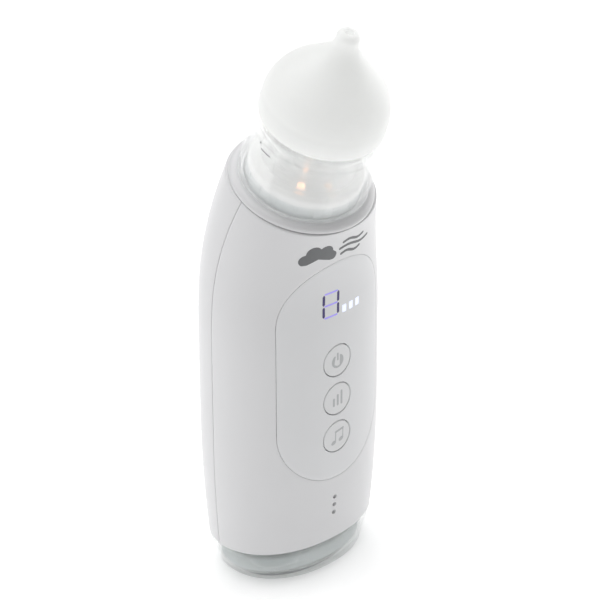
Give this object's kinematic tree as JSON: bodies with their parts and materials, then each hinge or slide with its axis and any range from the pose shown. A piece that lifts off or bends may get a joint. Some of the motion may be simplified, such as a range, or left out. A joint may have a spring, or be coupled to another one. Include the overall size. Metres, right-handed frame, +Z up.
{
  "type": "nasal aspirator",
  "caption": "Handheld baby nasal aspirator: oval handle with panel, display and push buttons, clear cup on a leaning neck, soft silicone tip, clear foot.",
  "frame": {"origin": "centre of the foot pad's underside, on the surface that the object stands on", "axes": "+Z up along the handle; the controls face -Y and the head leans towards -Y; +X to the right when facing the controls"},
  "size_m": [0.052, 0.0507, 0.1643],
  "materials": {
    "shell_white": "satin gloss",
    "panel_white": "smooth satin",
    "button_grey": "satin",
    "display_light": "lit window",
    "clear_plastic": "clear polished",
    "silicone": "frosted translucent",
    "seal_rubber": "matt",
    "black_rubber": "matt",
    "neck_grey": "satin",
    "lamp_amber": "lit lens",
    "band_grey": "matt",
    "board_green": "solder mask",
    "black_plastic": "matt",
    "frame_plastic": "matt",
    "pump_grey": "matt",
    "pale_plastic": "matt",
    "cell_foil": "wrapped foil",
    "steel": "zinc plated",
    "magnet": "sintered",
    "copper": "wound copper",
    "foam": "open foam"
  },
  "bodies": {
    "handle": {"front_shell": "shell_white", "rear_shell": "shell_white", "control_panel": "panel_white", "display_windows": "display_light", "tact_switches": "black_plastic", "display_module": "black_plastic", "main_board": "board_green", "board_screws": "steel", "chassis": "frame_plastic", "battery": "cell_foil", "speaker": "black_plastic", "speaker_mesh": "foam", "motor_can": "steel", "motor_cap": "pale_plastic", "motor_magnets": "magnet", "pump_base": "pump_grey", "wobble_plate": "pale_plastic", "pump_diaphragm": "black_rubber", "pump_head": "pump_grey", "pump_screws": "steel", "exhaust_muffler": "foam", "suction_hose": "silicone", "collar": "shell_white", "neck": "neck_grey", "lamp_board": "board_green", "neck_lamps": "lamp_amber", "neck_seal": "seal_rubber", "usb_board": "board_green", "usb_socket": "steel", "base_plate": "frame_plastic", "base_screws": "steel", "base_lights": "board_green", "base_band": "band_grey", "base_cap": "clear_plastic", "foot_pad": "seal_rubber"},
    "power_key": {"power_button": "button_grey", "power_plunger": "black_plastic"},
    "level_key": {"level_button": "button_grey", "level_plunger": "black_plastic"},
    "music_key": {"music_button": "button_grey", "music_plunger": "black_plastic"},
    "rotor": {"motor_rotor": "copper"},
    "port_flap": {"usb_cover": "silicone"},
    "collection_cup": {"cup": "clear_plastic", "cup_skirt": "clear_plastic", "splash_guard": "clear_plastic"},
    "soft_tip": {"tip": "silicone"}
  },
  "joints": [
    {"name": "power_press", "type": "slide", "parent": "handle", "child": "power_key", "axis": [0, 1, 0], "range_m": [0, 0.0004], "stiffness_N_per_m": 600, "springref_m": -0.0005},
    {"name": "level_press", "type": "slide", "parent": "handle", "child": "level_key", "axis": [0, 1, 0], "range_m": [0, 0.0004], "stiffness_N_per_m": 600, "springref_m": -0.0005},
    {"name": "music_press", "type": "slide", "parent": "handle", "child": "music_key", "axis": [0, 1, 0], "range_m": [0, 0.0004], "stiffness_N_per_m": 600, "springref_m": -0.0005},
    {"name": "motor_spin", "type": "hinge", "parent": "handle", "child": "rotor", "pos_m": [0, 0.003, 0.07], "axis": [0, 0, 1], "continuous": true},
    {"name": "port_flap_hinge", "type": "hinge", "parent": "handle", "child": "port_flap", "pos_m": [0, 0.0184, 0.0177], "axis": [-1, 0, 0], "range_deg": [0, 100]},
    {"name": "cup_pull", "type": "slide", "parent": "handle", "child": "collection_cup", "axis": [0, -0.342, 0.9397], "range_m": [0, 0.012]},
    {"name": "tip_pull", "type": "slide", "parent": "collection_cup", "child": "soft_tip", "axis": [0, -0.342, 0.9397], "range_m": [0, 0.012]}
  ]
}
